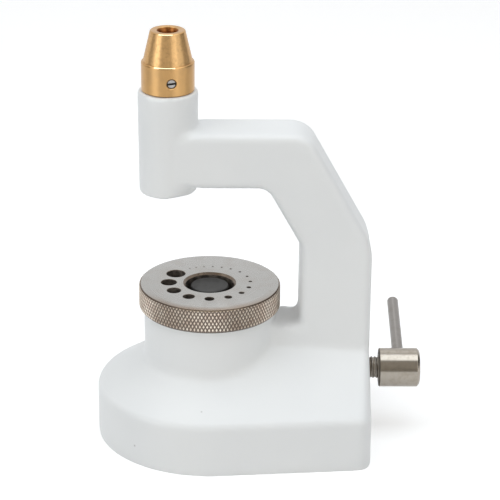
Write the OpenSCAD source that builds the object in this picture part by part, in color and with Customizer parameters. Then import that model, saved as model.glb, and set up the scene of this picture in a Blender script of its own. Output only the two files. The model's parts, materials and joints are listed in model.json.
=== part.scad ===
// Staking tool for clock and watch work.
// A cast frame carries a brass guide bush over a round die plate with graduated holes.
// A screw at the back, turned by its knob and lever, locks the die plate.
// The origin is on the bench, on the axis that the die plate turns about.
// X runs to the rear of the frame, Z up. All sizes are in millimetres.

/* [Base] */
// Radius of the round front of the base
base_r = 39.8; // [38:0.1:44]
// Distance from the die plate's axis to the flat rear face
rear_x = 56.55; // [54:0.05:62]
// Taper of each side towards the rear, in degrees
side_taper = 5.2; // [3:0.1:7]
// Height of the upright rim, up to where it would meet the sloping top
rim_h = 18.6; // [16:0.1:20]
// Slope of the top, from the rim up to the drum, in degrees
top_slope = 32.8; // [30:0.1:35]
// Rounding between the rim and the sloping top
rim_round = 3.2; // [1:0.1:4]
// Radius of the two rear corners, seen from above
corner_r = 5.5; // [4.5:0.1:8]
// Rounding between the sloping top and the rear face
gable_round = 2; // [1:0.1:2.6]

/* [Drum and rib] */
// Radius of the drum under the die plate
drum_r = 23.1; // [22.5:0.1:24.5]
// Height of the drum's top, on which the die plate turns
drum_top = 47.2; // [46:0.1:54]
// Radius of the fillets where the drum, rib and column meet the base
foot_fillet = 3; // [1.5:0.1:4]
// Height of the rib between the drum and the column
rib_top = 43.3; // [42:0.1:45]
// Rounding of the rib's upper edges
rib_round = 1.6; // [0.8:0.1:2.4]
// Fillet between the rib and the column
rib_fillet = 3.2; // [1:0.1:4]

/* [Column, arm and head] */
// Width across the column, the arm and the rib
neck_w = 19.8; // [18:0.1:19.9]
// Rounding along the edges of the column and arm
neck_round = 2.7; // [1.5:0.1:3.2]
// Distance from the die plate's axis to the front of the column
column_front = 31.5; // [30.5:0.1:35]
// Height at which the column's front starts to lean forward
knee_z = 73.5; // [70:0.1:78]
// Lean of the neck between the column and the arm, in degrees from upright
neck_lean = 29.3; // [25:0.1:34]
// Thickness of the leaning neck
neck_t = 21.8; // [20:0.1:24]
// Height of the arm
arm_h = 19.9; // [18:0.1:22]
// Bend radius over the arm's outer corner
bend_top_out = 9; // [6:0.5:12]
// Bend radius under the arm's inner corner
bend_top_in = 5.5; // [3:0.5:8]
// Bend radius at the back of the column
bend_low_out = 20; // [8:0.5:24]
// Bend radius at the front of the column
bend_low_in = 4.5; // [3:0.5:8]
// Clear height between the die plate and the head
throat_h = 34.9; // [32:0.1:39]
// How far the head reaches below the arm
head_drop = 3.5; // [2:0.1:5]
// How far the head stands above the arm
head_rise = 13.1; // [9:0.1:16]
// Radius of the head at its upper edge
head_r = 10.35; // [10.3:0.05:12]
// How much less that radius is at the head's lower edge, as casting draft
head_draft = 0.35; // [0:0.05:0.4]
// Rounding of the head's lower and upper edges
head_round = 0.8; // [0.4:0.1:2]

/* [Guide bush] */
// Radius of the guide bore that takes the punches
punch_r = 3; // [2:0.05:3.4]
// Radius of the bush inside the head
bush_r = 7; // [6:0.1:7.5]
// Radius of the bush's collar above the head
collar_r = 9.13; // [8.9:0.01:10]
// Height of the collar
collar_h = 10.5; // [9:0.1:13]
// Height of the tapered nose above the collar
nose_h = 10.7; // [8:0.1:14]
// Width of the shoulder between the collar and the foot of the nose
shoulder_w = 0.65; // [0.6:0.05:1.2]
// Rounding of the collar's upper edge
collar_round = 0.6; // [0.2:0.1:0.6]
// Radius at the top of the nose
nose_top_r = 6.15; // [5.5:0.05:7]
// Width of the flare at the mouth of the guide bore
mouth_w = 0.7; // [0.3:0.1:1.2]
// Depth of that flare
mouth_d = 1.5; // [0.5:0.1:3]
// Radius of the friction screw in the collar
friction_r = 1.6; // [1.3:0.05:2]
// Length of the friction screw
friction_len = 3.4; // [2.5:0.1:4]
// How far the friction screw lies below the middle of the collar
friction_drop = 0.45; // [0:0.05:1]
// Turn of the friction screw away from the side of the frame, in degrees
friction_turn = 9.5; // [0:0.5:40]
// Width of its driver slot
slot_w = 0.7; // [0.4:0.1:1]
// Depth of its driver slot
slot_d = 0.9; // [0.5:0.1:1.2]

/* [Die plate] */
// Radius over the knurled rim
plate_r = 25; // [24.6:0.1:28]
// Thickness of the die plate
plate_t = 8.8; // [8:0.1:11]
// Width of the bevel around its upper face
plate_bevel = 0.7; // [0.3:0.1:2]
// Width of the bevel around its lower face
plate_foot = 1; // [0.3:0.1:1.5]
// Radius of the circle of die holes, which is also how far the punches stand from the axis
die_circle = 14.4; // [13.4:0.1:15]
// Diameters of the die holes, in order around the plate
die_d = [6.7, 5.6, 5, 4.2, 3.4, 2.7, 2, 1.6, 1.2, 1, 0.9, 0.8, 0.7, 0.6, 0.55, 0.5, 0.45];
// Places of the die holes around the plate, in degrees, with the second one under the punches
die_a = [147, 180, 210, 240, 270, 297, 321, 343, 4, 23, 42, 59, 73, 86, 98.5, 110, 120];
// Length of a fine die hole before it opens out underneath
die_land = 3; // [2:0.1:5]
// Radius of the recess for the spindle's head
recess_r = 8.6; // [8.1:0.05:9]
// Depth of the recess
recess_d = 5.1; // [4.6:0.1:5.6]
// Bevel around the mouth of the recess
recess_bevel = 0.75; // [0.3:0.05:1]
// Teeth around the knurled rim
knurl_teeth = 120; // [60:2:150]
// Angle between the knurl's cuts and the axis of the plate, in degrees
knurl_angle = 30; // [20:1:45]
// Depth of the knurl
knurl_depth = 0.4; // [0.15:0.05:0.5]

/* [Die spindle] */
// Radius of the spindle's stem
stem_r = 4.95; // [4.5:0.05:5.5]
// Length of the stem inside the drum
stem_len = 33.5; // [32:0.1:35]
// Radius of the spindle's head
spindle_head_r = 6.75; // [6.2:0.05:7.2]
// How far the spindle's head lies below the face of the die plate
spindle_sink = 0.9; // [0.5:0.1:1.6]
// Radius of the washer under the head
washer_r = 7.9; // [7.6:0.05:8]
// Thickness of the washer
washer_t = 0.8; // [0.5:0.1:1]
// Depth of the locking groove in the stem
groove_d = 1.8; // [1.4:0.1:2.2]

/* [Clamp] */
// Height of the clamp screw above the bench
clamp_z = 23.2; // [21:0.1:25]
// Radius of the clamp screw
screw_r = 3.92; // [3.5:0.01:4.2]
// Length of the clamp screw's thread in the column
thread_len = 23.5; // [15:0.5:24.5]
// Radius of the clamp plunger
plunger_r = 3; // [2.6:0.05:3.2]
// Play left between the column and the knob when the plate is locked
knob_gap = 4.05; // [2:0.05:6]
// Radius of the knob
knob_r = 6.95; // [6.4:0.05:8]
// Length of the knob
knob_len = 14.55; // [13:0.05:18]
// Bevel around both ends of the knob
knob_bevel = 0.9; // [0.4:0.1:1.4]
// How far the clamp screw reaches into the knob
knob_hold = 11; // [10:0.1:12]
// Distance from the knob's inner face to the axis of the lever rod
lever_in = 7.4; // [6:0.1:8.5]
// Radius of the lever rod
lever_r = 2.02; // [1.6:0.01:2.2]
// Reach of the lever rod from the axis of the knob
lever_reach = 40.3; // [30:0.1:42]
// Lean of the locked lever from upright, in degrees
lever_lean = 77; // [60:1:80]

/* [Hidden] */

// Clearance on the radius of a part that turns or slides in its bore
run_clear = 0.04;
// Clearance on the radius of a part that is pushed in and stays
seat_clear = 0.02;
// Clearance on the radius between a screw and its thread
thread_clear = 0.08;
// Free space left past the end of a blind bore
end_clear = 0.5;
// Gap that the plunger keeps from the groove, and the friction plug from the punch
tip_clear = 0.3;
// How far the friction screw lies below the face of the collar
screw_sink = 0.35;
// How far the crests of the knurl stay under the plain edge above them
knurl_relief = 0.05;
// How far one solid reaches into another that it is cast in one with
blend = 2;
// Step that keeps the faces of such solids out of one plane
step = 0.05;
// How far a cutting solid reaches past the face that it opens
past = 1;

curve_n = 96;
edge_n = 8;

// Directions and offsets of the base's tapered sides
side_n = [sin(side_taper), cos(side_taper)];
base_rear = rear_x - step;
corner_x = base_rear - corner_r;
function side_y(x, inset) = (base_r - inset - side_n.x * x) / side_n.y;
corner_y = side_y(corner_x, corner_r);

// The sloping top is the plane whose normal is top_n, at the distance top_c from the origin
top_n = [side_n.x * sin(top_slope), side_n.y * sin(top_slope), cos(top_slope)];
top_c = base_r * sin(top_slope) + rim_h * cos(top_slope);
rim_centre_z = rim_h - rim_round * tan(45 - top_slope / 2);
ridge_r = neck_w / 2;
ridge_z = rim_h + (base_r - ridge_r) * tan(top_slope);
// Half width of the ridge at the rear, so that its round edge touches the sloping top
gable_y = (top_c - gable_round - top_n.z * (ridge_z - gable_round)
    - top_n.x * (base_rear - gable_round)) / top_n.y;

plate_top = drum_top + plate_t;
head_bottom = plate_top + throat_h;
arm_bottom = head_bottom + head_drop;
arm_top = arm_bottom + arm_h;
head_top = arm_top + head_rise;
head_x = -die_circle;
nose_top = head_top + collar_h + nose_h;

recess_z = plate_top - recess_d;
spindle_top = plate_top - spindle_sink;
spindle_seat = recess_z + washer_t;
stem_end = drum_top - stem_len;
tip_x = stem_r - groove_d + tip_clear;
thread_x = rear_x - thread_len - end_clear;
screw_start = rear_x - thread_len;
knob_x = rear_x + knob_gap;
lever_x = knob_x + lever_in;
knockout_r = die_d[0] / 2 + 0.4;

// Points of an arc about c, from angle a0 to angle a1
function arc(c, r, a0, a1, n) =
    [for (i = [0:n]) let (a = a0 + (a1 - a0) * i / n) [c.x + r * cos(a), c.y + r * sin(a)]];

// Points that round the corner p, coming from a and leaving for b
function rounded(p, a, b, r, n) =
    let (
        u = (a - p) / norm(a - p),
        v = (b - p) / norm(b - p),
        half = acos(u * v) / 2,
        c = p + (u + v) / norm(u + v) * r / sin(half),
        s = p + u * r / tan(half) - c,
        e = p + v * r / tan(half) - c,
        a0 = atan2(s.y, s.x),
        turn = atan2(s.x * e.y - s.y * e.x, s * e)
    )
    arc(c, r, a0, a0 + turn, n);

// Closed skin over rings of points with equal counts, with the end rings as caps
module skin(rings) {
    n = len(rings[0]);
    m = len(rings);
    points = [for (ring = rings, p = ring) p];
    sides = [
        for (k = [0:m - 2], i = [0:n - 1])
            let (j = (i + 1) % n, a = k * n + i, b = k * n + j)
            each [[a, b, b + n], [a, b + n, a + n]]
    ];
    first = [for (i = [0:n - 1]) n - 1 - i];
    last = [for (i = [0:n - 1]) (m - 1) * n + i];
    polyhedron(points = points, faces = concat(sides, [first], [last]), convexity = 6);
}

// Solid of revolution about an upright axis
module turned(points) {
    rotate_extrude($fn = curve_n) polygon(points);
}

// Ring with a round section, used for rounded rims
module round_rim(r) {
    section = arc([r - rim_round, 0], rim_round, -90, 90, 2 * edge_n);
    turned(concat([[0, -rim_round]], section, [[0, rim_round]]));
}

// Base with its upright rim and sloping top
module base_body() {
    hull() {
        cylinder(r = base_r, h = rim_centre_z, $fn = curve_n);
        translate([0, 0, rim_centre_z]) round_rim(base_r);
        translate([0, 0, ridge_z - past]) cylinder(r = ridge_r, h = past, $fn = 64);
        for (s = [-1, 1]) {
            translate([corner_x, s * corner_y, 0]) cylinder(r = corner_r, h = rim_centre_z, $fn = curve_n);
            translate([corner_x, s * corner_y, rim_centre_z]) round_rim(corner_r);
            translate([base_rear - gable_round, s * gable_y, ridge_z - gable_round])
                sphere(r = gable_round, $fn = 32);
        }
    }
}

// Drum with a fillet at its foot
module drum() {
    centre_r = drum_r + foot_fillet - step;
    centre_z = rim_h + (base_r - centre_r) * tan(top_slope) + (foot_fillet - step) / cos(top_slope);
    fillet = arc([centre_r, centre_z], foot_fillet, 270 - top_slope, 180, edge_n);
    foot = fillet[0];
    edge = 0.4;
    turned(concat(
        [[0, rim_centre_z], [foot.x, rim_centre_z]],
        fillet,
        [[drum_r - step, centre_z + step], [drum_r, centre_z + step]],
        [[drum_r, drum_top - edge], [drum_r - edge, drum_top], [0, drum_top]]
    ));
}

// Rib that ties the drum to the column and houses the clamp plunger
module rib() {
    half = neck_w / 2 - step;
    section = concat(
        [[-half, rim_centre_z], [half, rim_centre_z]],
        arc([half - rib_round, rib_top - rib_round], rib_round, 0, 90, edge_n),
        arc([rib_round - half, rib_top - rib_round], rib_round, 90, 180, edge_n)
    );
    rotate([90, 0, 90]) linear_extrude(height = column_front + neck_round + blend) polygon(section);
    corner = [column_front + step, rib_top - step];
    web = concat(
        rounded(corner, corner + [0, 9], corner - [9, 0], rib_fillet, edge_n),
        [corner + [0, -blend], corner + [blend, -blend], corner + [blend, rib_fillet]]
    );
    translate([0, half - neck_round, 0])
        rotate([90, 0, 0]) linear_extrude(height = neck_w - 2 * neck_round) polygon(web);
}

// Fillets where the sides of the rib and column meet the sloping top. They fade out at the rear.
module column_feet() {
    half = neck_w / 2;
    across = norm([top_n.y, top_n.z]);
    tilt = atan2(top_n.y, top_n.z);
    fade_r = 0.3;
    fade_x = rear_x - neck_round;
    function foot_ring(s, x, r) =
        let (
            c2 = (top_c - top_n.x * x) / across,
            cy = half + r - step,
            cz = (c2 + r - step - sin(tilt) * cy) / cos(tilt),
            curve = arc([cy, cz], r, 180, 270 - tilt, edge_n),
            low = curve[edge_n].y - blend,
            inner = half - 2 * blend,
            outline = concat(curve, [[curve[edge_n].x, low], [inner, low], [inner, curve[0].y]])
        )
        [for (p = outline) [x, s * p.x, p.y]];
    for (s = [-1, 1]) {
        rings = [
            foot_ring(s, 0, foot_fillet),
            foot_ring(s, fade_x - 2 * foot_fillet, foot_fillet),
            foot_ring(s, fade_x, fade_r)
        ];
        skin(s < 0 ? [rings[2], rings[1], rings[0]] : rings);
    }
}

// Column, leaning neck and arm as one bar of changing thickness
module gooseneck() {
    lean = [cos(neck_lean), sin(neck_lean)];
    in_low = [column_front, knee_z];
    in_top = [column_front - (arm_bottom - knee_z) * tan(neck_lean), arm_bottom];
    out_c = in_low * lean + neck_t;
    out_low = [rear_x, (out_c - lean.x * rear_x) / lean.y];
    out_top = [(out_c - lean.y * arm_top) / lean.x, arm_top];
    foot_z = blend;
    outer = concat(
        [[head_x, arm_top]],
        rounded(out_top, out_top - [9, 0], out_low, bend_top_out, edge_n),
        rounded(out_low, out_top, out_low - [0, 9], bend_low_out, edge_n),
        [[rear_x, foot_z]]
    );
    inner = concat(
        [[head_x, arm_bottom]],
        rounded(in_top, in_top - [9, 0], in_low, bend_top_in, edge_n),
        rounded(in_low, in_top, in_low - [0, 9], bend_low_in, edge_n),
        [[column_front, foot_z]]
    );
    half = neck_w / 2;
    function ring(o, i) =
        let (
            c = (o + i) / 2,
            h = norm(o - i) / 2,
            e = (o - i) / norm(o - i),
            u = half - neck_round,
            v = h - neck_round,
            loop = concat(
                arc([u, v], neck_round, 0, 90, 4),
                arc([-u, v], neck_round, 90, 180, 4),
                arc([-u, -v], neck_round, 180, 270, 4),
                arc([u, -v], neck_round, 270, 360, 4)
            )
        )
        [for (p = loop) [c.x + e.x * p.y, p.x, c.y + e.y * p.y]];
    skin([for (k = [len(outer) - 1:-1:0]) ring(outer[k], inner[k])]);
}

// Head that holds the guide bush
module head_body() {
    translate([head_x, 0, 0])
        turned(concat(
            [[0, head_bottom]],
            arc([head_r - head_draft - head_round, head_bottom + head_round], head_round, -90, 0, edge_n),
            arc([head_r - head_round, head_top - head_round], head_round, 0, 90, edge_n),
            [[0, head_top]]
        ));
}

// Cast frame, from the base to the head
module frame_casting() {
    color("gainsboro")
    difference() {
        union() {
            base_body();
            drum();
            rib();
            column_feet();
            gooseneck();
            head_body();
        }
        translate([0, 0, stem_end - end_clear])
            cylinder(r = stem_r + run_clear, h = drum_top - stem_end + end_clear + past, $fn = curve_n);
        translate([0, 0, clamp_z]) rotate([0, 90, 0]) {
            cylinder(r = plunger_r + run_clear, h = thread_x + past, $fn = curve_n);
            translate([0, 0, thread_x])
                cylinder(r = screw_r + thread_clear, h = rear_x - thread_x + past, $fn = curve_n);
        }
        translate([head_x, 0, -past]) cylinder(r = knockout_r, h = drum_top + 2 * past, $fn = curve_n);
        translate([head_x, 0, head_bottom - past])
            cylinder(r = bush_r + seat_clear, h = head_top - head_bottom + 2 * past, $fn = curve_n);
    }
}

// Place of the friction screw: the axis points out of the collar
module friction_axis() {
    translate([head_x, 0, head_top + collar_h / 2 - friction_drop])
        rotate([90, 0, friction_turn])
            children();
}

// Brass bush that guides the punches, with a collar and a tapered nose
module guide_bush() {
    mouth_r = punch_r + mouth_w;
    lip = 0.5;
    edge = 0.4;
    color("goldenrod")
    difference() {
        translate([head_x, 0, 0])
            turned(concat(
                [[punch_r, head_bottom + lip], [punch_r + lip, head_bottom]],
                [[bush_r - lip, head_bottom], [bush_r, head_bottom + lip], [bush_r, head_top]],
                [[collar_r - edge, head_top], [collar_r, head_top + edge]],
                arc([collar_r - collar_round, head_top + collar_h - collar_round], collar_round, 0, 90, 4),
                [[collar_r - shoulder_w, head_top + collar_h]],
                arc([nose_top_r - lip, nose_top - lip], lip, 10, 90, 5),
                [[mouth_r, nose_top], [punch_r, nose_top - mouth_d]]
            ));
        friction_axis()
            translate([0, 0, punch_r / 2])
                cylinder(r = friction_r + thread_clear, h = collar_r, $fn = curve_n);
    }
}

// Slotted screw that sets how tightly the punches are held
module friction_screw() {
    outer = collar_r - screw_sink;
    color("silver")
    friction_axis()
        difference() {
            translate([0, 0, outer - friction_len])
                cylinder(r = friction_r, h = friction_len, $fn = curve_n);
            rotate([0, 0, 5])
                translate([-friction_r - past, -slot_w / 2, outer - slot_d])
                    cube([2 * (friction_r + past), slot_w, slot_d + past]);
        }
}

// Brass plug between the friction screw and the punch
module friction_plug() {
    tip = punch_r + tip_clear;
    plug_r = friction_r + thread_clear - run_clear;
    color("darkgoldenrod")
    friction_axis()
        translate([0, 0, tip])
            cylinder(r = plug_r, h = collar_r - screw_sink - friction_len - tip, $fn = curve_n);
}

// Diamond knurl: a ring of four-sided points, with valleys where two rows of cuts cross
module knurl_band(z0, z1) {
    columns = 2 * knurl_teeth;
    pitch = 360 / columns;
    rows = max(2, round((z1 - z0) * knurl_teeth / (PI * plate_r * tan(90 - knurl_angle))));
    crest_r = plate_r - knurl_relief;
    root_r = crest_r - knurl_depth;
    core_r = root_r - blend;
    function rim_r(i, k) = (k == 0 || k == rows || (i + k) % 2 == 0) ? root_r : crest_r;
    outer = [
        for (k = [0:rows], i = [0:columns - 1])
            [rim_r(i, k) * cos(i * pitch), rim_r(i, k) * sin(i * pitch), z0 + (z1 - z0) * k / rows]
    ];
    core = [
        for (z = [z0, z1], i = [0:columns - 1])
            [core_r * cos(i * pitch), core_r * sin(i * pitch), z]
    ];
    low = len(outer);
    high = low + columns;
    function cell(i, k) =
        let (j = (i + 1) % columns, a = k * columns + i, b = k * columns + j)
        (i + k) % 2 == 0
            ? [[a, b + columns, b], [a, a + columns, b + columns]]
            : [[a, a + columns, b], [b, a + columns, b + columns]];
    top = rows * columns;
    faces = [
        for (k = [0:rows - 1], i = [0:columns - 1]) each cell(i, k),
        for (i = [0:columns - 1])
            let (j = (i + 1) % columns)
            each [[low + i, i, j], [low + i, j, low + j], [high + i, low + i, low + j],
                [high + i, low + j, high + j], [top + i, high + i, high + j], [top + i, high + j, top + j]]
    ];
    polyhedron(points = concat(outer, core), faces = faces, convexity = 4);
}

// Round die plate with a knurled rim and seventeen graduated holes
module die_plate() {
    land = 0.3;
    body_r = plate_r - knurl_relief - knurl_depth - 0.15;
    bevel_z = plate_t - plate_bevel;
    color("slategray")
    difference() {
        translate([0, 0, drum_top]) {
            turned([[0, 0], [body_r - plate_foot, 0], [body_r, plate_foot], [body_r, bevel_z - land],
                [plate_r, bevel_z - land], [plate_r, bevel_z], [plate_r - plate_bevel, plate_t],
                [0, plate_t]]);
            knurl_band(plate_foot - step, bevel_z);
        }
        translate([0, 0, recess_z]) cylinder(r = recess_r, h = recess_d + past, $fn = curve_n);
        translate([0, 0, plate_top - recess_bevel])
            cylinder(r1 = recess_r, r2 = recess_r + recess_bevel + past, h = recess_bevel + past,
                $fn = curve_n);
        translate([0, 0, drum_top - past])
            cylinder(r = stem_r + run_clear, h = plate_t, $fn = curve_n);
        for (i = [0:len(die_d) - 1])
            rotate([0, 0, die_a[i]]) translate([die_circle, 0, drum_top - past]) die_hole(die_d[i]);
    }
}

// One die hole. A fine hole opens out below its land.
module die_hole(d) {
    fine = 3;
    cylinder(d = d, h = plate_t + 2 * past, $fn = curve_n);
    if (d < fine) cylinder(d = d + 1.1, h = plate_t + past - die_land, $fn = curve_n);
}

// Spindle that the die plate turns on, with the locking groove in its stem
module die_spindle() {
    edge = 0.4;
    root_r = stem_r - groove_d;
    groove_z = clamp_z + tip_clear / 3;
    color("dimgray")
    turned([
        [0, stem_end], [stem_r - edge, stem_end], [stem_r, stem_end + edge],
        [stem_r, groove_z - groove_d], [root_r, groove_z], [stem_r, groove_z + groove_d],
        [stem_r, spindle_seat], [spindle_head_r, spindle_seat],
        [spindle_head_r, spindle_top - edge], [spindle_head_r - edge, spindle_top], [0, spindle_top]
    ]);
}

// Washer under the spindle's head
module spindle_washer() {
    color("gray")
    translate([0, 0, recess_z])
        difference() {
            cylinder(r = washer_r, h = washer_t, $fn = curve_n);
            translate([0, 0, -past])
                cylinder(r = stem_r + run_clear, h = washer_t + 2 * past, $fn = curve_n);
        }
}

// Turned part on the clamp's axis, from profile points given as distance along X and radius
module clamp_turned(points) {
    translate([0, 0, clamp_z]) rotate([0, 90, 0]) turned([for (p = points) [p.y, p.x]]);
}

// Plunger whose cone draws the spindle down
module clamp_plunger() {
    flat = 0.6;
    edge = 0.4;
    color("darkgray")
    clamp_turned([
        [screw_start, 0], [screw_start, plunger_r - edge], [screw_start - edge, plunger_r],
        [tip_x + plunger_r, plunger_r], [tip_x + flat, flat], [tip_x + flat, 0]
    ]);
}

// Threaded clamp screw
module clamp_screw() {
    edge = 0.7;
    color("dimgray")
    clamp_turned([
        [knob_x + knob_hold, 0], [knob_x + knob_hold, screw_r - edge], [knob_x + knob_hold - edge, screw_r],
        [screw_start + edge, screw_r], [screw_start, screw_r - edge], [screw_start, 0]
    ]);
}

// Knob on the end of the clamp screw, drilled across for the lever
module clamp_knob() {
    x0 = knob_x;
    x1 = knob_x + knob_len;
    bore = screw_r + seat_clear;
    mouth = 0.6;
    floor_x = knob_x + knob_hold + end_clear;
    color("silver")
    difference() {
        clamp_turned([
            [floor_x, 0], [floor_x, bore], [x0 + mouth, bore], [x0, bore + mouth],
            [x0, knob_r - knob_bevel / 2], [x0 + knob_bevel / 2, knob_r],
            [x1 - knob_bevel, knob_r], [x1, knob_r - knob_bevel], [x1, 0]
        ]);
        lever_axis() cylinder(r = lever_r + seat_clear, h = knob_r + past, $fn = curve_n);
    }
}

// Axis of the lever rod, across the knob
module lever_axis() {
    translate([lever_x, 0, clamp_z]) rotate([-lever_lean, 0, 0]) children();
}

// Lever rod that turns the knob
module lever_rod() {
    start = screw_r + tip_clear;
    edge = 0.3;
    tip = 0.8;
    color("silver")
    lever_axis()
        turned(concat(
            [[0, start], [lever_r - edge, start], [lever_r, start + edge]],
            arc([lever_r - tip, lever_reach - tip], tip, 0, 90, 6),
            [[0, lever_reach]]
        ));
}

frame_casting();
guide_bush();
friction_screw();
friction_plug();
die_plate();
die_spindle();
spindle_washer();
clamp_plunger();
clamp_screw();
clamp_knob();
lever_rod();
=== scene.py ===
"""Staking tool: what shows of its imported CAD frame, modelled and finished for rendering.

The tool stands on z = 0, X runs to the rear of its frame, and the die plate turns about the Z axis.
Pieces are modelled in millimetres and brought to metres when they are finished.
"""

from __future__ import annotations

import json
import logging
import math
from contextlib import contextmanager
from dataclasses import dataclass, field
from enum import Enum
from typing import Callable, Iterator, Sequence

import bmesh
import bpy
from mathutils import Matrix, Vector

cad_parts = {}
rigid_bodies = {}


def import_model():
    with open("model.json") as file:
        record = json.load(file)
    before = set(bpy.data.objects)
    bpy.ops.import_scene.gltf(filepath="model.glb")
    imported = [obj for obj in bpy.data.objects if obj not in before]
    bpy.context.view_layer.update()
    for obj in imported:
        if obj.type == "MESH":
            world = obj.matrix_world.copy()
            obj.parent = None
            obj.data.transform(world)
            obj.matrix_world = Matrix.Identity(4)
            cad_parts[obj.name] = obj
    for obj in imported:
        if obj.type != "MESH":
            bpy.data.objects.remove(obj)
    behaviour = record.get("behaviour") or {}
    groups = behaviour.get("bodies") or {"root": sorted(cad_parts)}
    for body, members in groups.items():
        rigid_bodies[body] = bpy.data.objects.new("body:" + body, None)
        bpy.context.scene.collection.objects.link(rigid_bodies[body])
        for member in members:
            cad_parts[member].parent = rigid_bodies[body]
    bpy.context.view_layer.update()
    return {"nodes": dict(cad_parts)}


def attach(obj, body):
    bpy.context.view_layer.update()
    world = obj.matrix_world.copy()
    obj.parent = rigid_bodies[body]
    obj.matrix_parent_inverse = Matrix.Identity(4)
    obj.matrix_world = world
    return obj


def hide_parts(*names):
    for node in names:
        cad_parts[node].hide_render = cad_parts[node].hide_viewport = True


log = logging.getLogger("staking_tool")

Piece = bpy.types.Object
Point = tuple[float, float]
Place = tuple[float, float, float]
MM = 0.001
ORIGIN = (0.0, 0.0, 0.0)
UP = (0.0, 0.0, 1.0)
WHITE = (1.0, 1.0, 1.0)
SIDES = (-1, 1)

# How far the ends of an edge may differ in one direction when it counts as level, in millimetres
LEVEL_EDGE = 0.01

# Steps round drilled holes, bores and rods, turned pieces, and the widest rounds
DRILL_STEPS, BORE_STEPS, TURN_STEPS, WIDE_STEPS = 48, 64, 128, 160


class Body(Enum):
    """The bodies that the modelled pieces ride on."""

    FRAME = "frame"
    PLATE = "plate"
    CLAMP = "clamp"


class Slot(Enum):
    """The material slots of the record."""

    FRAME = "frame"
    BUSH = "bush"
    PLATE = "plate"
    SPINDLE = "spindle"
    FASTENER = "fastener"
    KNOB = "knob"


class Pick(Enum):
    """What a selection in edit mode takes."""

    VERTS = "VERT"
    EDGES = "EDGE"
    FACES = "FACE"


class Join(Enum):
    """How one solid meets another."""

    CUT = "DIFFERENCE"
    KEEP_COMMON = "INTERSECT"


class Axis(Enum):
    """An axis of the tool."""

    X = "X"
    Y = "Y"
    Z = "Z"


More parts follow.
